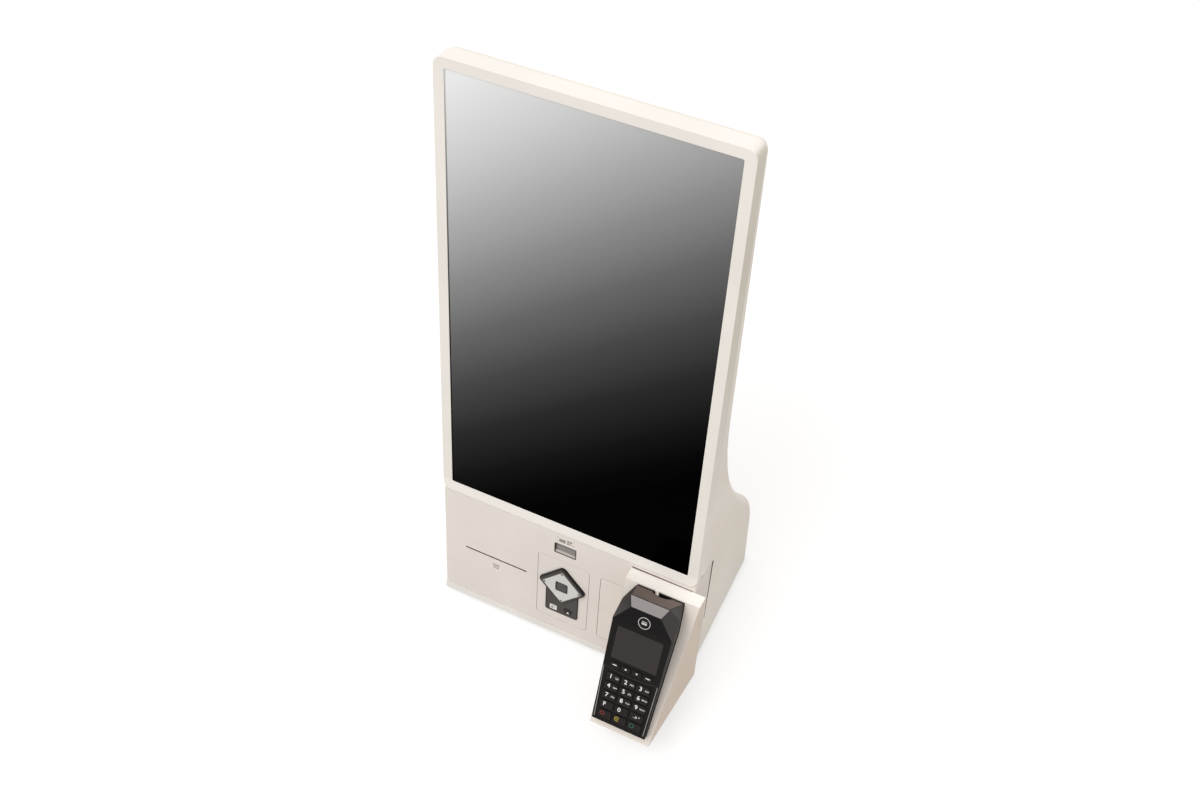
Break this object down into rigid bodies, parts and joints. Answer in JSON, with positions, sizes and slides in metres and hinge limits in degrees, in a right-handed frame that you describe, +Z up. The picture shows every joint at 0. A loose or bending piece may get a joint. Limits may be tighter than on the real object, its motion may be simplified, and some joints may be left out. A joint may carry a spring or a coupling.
{
  "type": "self-ordering kiosk",
  "caption": "Counter-top self-ordering kiosk: leaning portrait touch display over a hinged front door with receipt slot, code scanner, contactless reader and a bracketed payment terminal.",
  "frame": {"origin": "middle of the base on the surface it stands on", "axes": "+X to the right seen from the user, +Y away from the user into the kiosk, +Z up"},
  "size_m": [0.3816, 0.3612, 0.8054],
  "materials": {
    "ivory_shell": "fine textured",
    "ivory_bezel": "fine textured",
    "ivory_door": "fine textured",
    "ivory_bracket": "fine textured",
    "pale_lip": "satin",
    "rubber": "matt",
    "screw_steel": "satin",
    "rod_steel": "ground",
    "sheet_steel": "zinc plated",
    "screen_glass": "gloss",
    "panel_metal": "satin",
    "board": "solder mask",
    "fin_aluminium": "anodised",
    "black_plastic": "fine textured",
    "dark_plastic": "fine textured",
    "motor_can": "satin",
    "pinion_brass": "machined",
    "paper": "matt",
    "white_plastic": "translucent",
    "smoked_window": "gloss",
    "reader_grey": "fine textured",
    "lens_black": "gloss",
    "magnet": "satin",
    "terminal_black": "satin",
    "terminal_lens": "gloss",
    "key_rubber": "matt"
  },
  "bodies": {
    "kiosk": {"base_tray": "pale_lip", "rubber_feet": "rubber", "rear_housing": "ivory_shell", "rear_cover": "ivory_shell", "case_screws": "screw_steel", "display_bezel": "ivory_bezel", "touch_glass": "screen_glass", "lcd_panel": "panel_metal", "display_backplate": "sheet_steel", "main_board": "board", "heat_sink": "fin_aluminium", "power_board": "board", "power_inlet": "black_plastic", "hinge_block": "sheet_steel", "door_striker": "sheet_steel", "printer_frame": "sheet_steel", "print_head": "dark_plastic", "stepper_motor": "motor_can", "paper_spindle": "rod_steel"},
    "door": {"front_door": "ivory_door", "hinge_pins": "rod_steel", "scanner_window": "smoked_window", "scanner_module": "black_plastic", "module_plate": "ivory_door", "reader_base": "reader_grey", "reader_frame": "reader_grey", "reader_diffuser": "white_plastic", "reader_lens": "lens_black", "blank_plate": "ivory_door", "door_magnet": "magnet", "terminal_bracket": "ivory_bracket", "bracket_screws": "screw_steel", "terminal_lower_case": "terminal_black", "terminal_upper_case": "terminal_black", "terminal_screen": "terminal_lens"},
    "platen": {"platen_roller": "rubber", "drive_gear": "white_plastic"},
    "pinion": {"motor_pinion": "pinion_brass"},
    "roll": {"paper_roll": "paper"},
    "lid": {"printer_lid": "dark_plastic"},
    "cutter": {"cutter_blade": "rod_steel"},
    "key_1": {"key_1": "key_rubber"},
    "key_2": {"key_2": "key_rubber"},
    "key_3": {"key_3": "key_rubber"},
    "key_4": {"key_4": "key_rubber"},
    "key_5": {"key_5": "key_rubber"},
    "key_6": {"key_6": "key_rubber"},
    "key_7": {"key_7": "key_rubber"},
    "key_8": {"key_8": "key_rubber"},
    "key_9": {"key_9": "key_rubber"},
    "key_menu": {"key_menu": "key_rubber"},
    "key_0": {"key_0": "key_rubber"},
    "key_more": {"key_more": "key_rubber"},
    "key_cancel": {"key_cancel": "key_rubber"},
    "key_clear": {"key_clear": "key_rubber"},
    "key_enter": {"key_enter": "key_rubber"},
    "key_f1": {"key_f1": "key_rubber"},
    "key_f2": {"key_f2": "key_rubber"},
    "key_f3": {"key_f3": "key_rubber"},
    "key_f4": {"key_f4": "key_rubber"}
  },
  "joints": [
    {"name": "door_hinge", "type": "hinge", "parent": "kiosk", "child": "door", "pos_m": [-0.1745, -0.03645, 0.08937], "axis": [0, -0.2588, -0.9659], "range_deg": [0, 90]},
    {"name": "platen_turn", "type": "hinge", "parent": "kiosk", "child": "platen", "pos_m": [-0.1033, -0.0645, 0.08861], "axis": [1, 0, 0], "continuous": true},
    {"name": "motor_turn", "type": "hinge", "parent": "kiosk", "child": "pinion", "pos_m": [-0.0532, -0.0545, 0.07129], "axis": [1, 0, 0], "continuous": true},
    {"name": "paper_turn", "type": "hinge", "parent": "kiosk", "child": "roll", "pos_m": [-0.1033, 0.00477, 0.05348], "axis": [1, 0, 0], "continuous": true},
    {"name": "lid_hinge", "type": "hinge", "parent": "kiosk", "child": "lid", "pos_m": [-0.1033, 0.05493, 0.09387], "axis": [-1, 0, 0], "range_deg": [0, 80]},
    {"name": "cutter_slide", "type": "slide", "parent": "kiosk", "child": "cutter", "axis": [0, 0.2588, 0.9659], "range_m": [0, 0.0075]},
    {"name": "key_1_press", "type": "slide", "parent": "door", "child": "key_1", "axis": [0, 0.8299, -0.5579], "range_m": [0, 0.001], "stiffness_N_per_m": 400, "springref_m": -0.0006},
    {"name": "key_2_press", "type": "slide", "parent": "door", "child": "key_2", "axis": [0, 0.8299, -0.5579], "range_m": [0, 0.001], "stiffness_N_per_m": 400, "springref_m": -0.0006},
    {"name": "key_3_press", "type": "slide", "parent": "door", "child": "key_3", "axis": [0, 0.8299, -0.5579], "range_m": [0, 0.001], "stiffness_N_per_m": 400, "springref_m": -0.0006},
    {"name": "key_4_press", "type": "slide", "parent": "door", "child": "key_4", "axis": [0, 0.8299, -0.5579], "range_m": [0, 0.001], "stiffness_N_per_m": 400, "springref_m": -0.0006},
    {"name": "key_5_press", "type": "slide", "parent": "door", "child": "key_5", "axis": [0, 0.8299, -0.5579], "range_m": [0, 0.001], "stiffness_N_per_m": 400, "springref_m": -0.0006},
    {"name": "key_6_press", "type": "slide", "parent": "door", "child": "key_6", "axis": [0, 0.8299, -0.5579], "range_m": [0, 0.001], "stiffness_N_per_m": 400, "springref_m": -0.0006},
    {"name": "key_7_press", "type": "slide", "parent": "door", "child": "key_7", "axis": [0, 0.8299, -0.5579], "range_m": [0, 0.001], "stiffness_N_per_m": 400, "springref_m": -0.0006},
    {"name": "key_8_press", "type": "slide", "parent": "door", "child": "key_8", "axis": [0, 0.8299, -0.5579], "range_m": [0, 0.001], "stiffness_N_per_m": 400, "springref_m": -0.0006},
    {"name": "key_9_press", "type": "slide", "parent": "door", "child": "key_9", "axis": [0, 0.8299, -0.5579], "range_m": [0, 0.001], "stiffness_N_per_m": 400, "springref_m": -0.0006},
    {"name": "key_menu_press", "type": "slide", "parent": "door", "child": "key_menu", "axis": [0, 0.8299, -0.5579], "range_m": [0, 0.001], "stiffness_N_per_m": 400, "springref_m": -0.0006},
    {"name": "key_0_press", "type": "slide", "parent": "door", "child": "key_0", "axis": [0, 0.8299, -0.5579], "range_m": [0, 0.001], "stiffness_N_per_m": 400, "springref_m": -0.0006},
    {"name": "key_more_press", "type": "slide", "parent": "door", "child": "key_more", "axis": [0, 0.8299, -0.5579], "range_m": [0, 0.001], "stiffness_N_per_m": 400, "springref_m": -0.0006},
    {"name": "key_cancel_press", "type": "slide", "parent": "door", "child": "key_cancel", "axis": [0, 0.8299, -0.5579], "range_m": [0, 0.001], "stiffness_N_per_m": 400, "springref_m": -0.0006},
    {"name": "key_clear_press", "type": "slide", "parent": "door", "child": "key_clear", "axis": [0, 0.8299, -0.5579], "range_m": [0, 0.001], "stiffness_N_per_m": 400, "springref_m": -0.0006},
    {"name": "key_enter_press", "type": "slide", "parent": "door", "child": "key_enter", "axis": [0, 0.8299, -0.5579], "range_m": [0, 0.001], "stiffness_N_per_m": 400, "springref_m": -0.0006},
    {"name": "key_f1_press", "type": "slide", "parent": "door", "child": "key_f1", "axis": [0, 0.8299, -0.5579], "range_m": [0, 0.001], "stiffness_N_per_m": 400, "springref_m": -0.0006},
    {"name": "key_f2_press", "type": "slide", "parent": "door", "child": "key_f2", "axis": [0, 0.8299, -0.5579], "range_m": [0, 0.001], "stiffness_N_per_m": 400, "springref_m": -0.0006},
    {"name": "key_f3_press", "type": "slide", "parent": "door", "child": "key_f3", "axis": [0, 0.8299, -0.5579], "range_m": [0, 0.001], "stiffness_N_per_m": 400, "springref_m": -0.0006},
    {"name": "key_f4_press", "type": "slide", "parent": "door", "child": "key_f4", "axis": [0, 0.8299, -0.5579], "range_m": [0, 0.001], "stiffness_N_per_m": 400, "springref_m": -0.0006}
  ],
  "couplings": [
    {"joint": "motor_turn", "follows": "platen_turn", "ratio": -1.5}
  ]
}
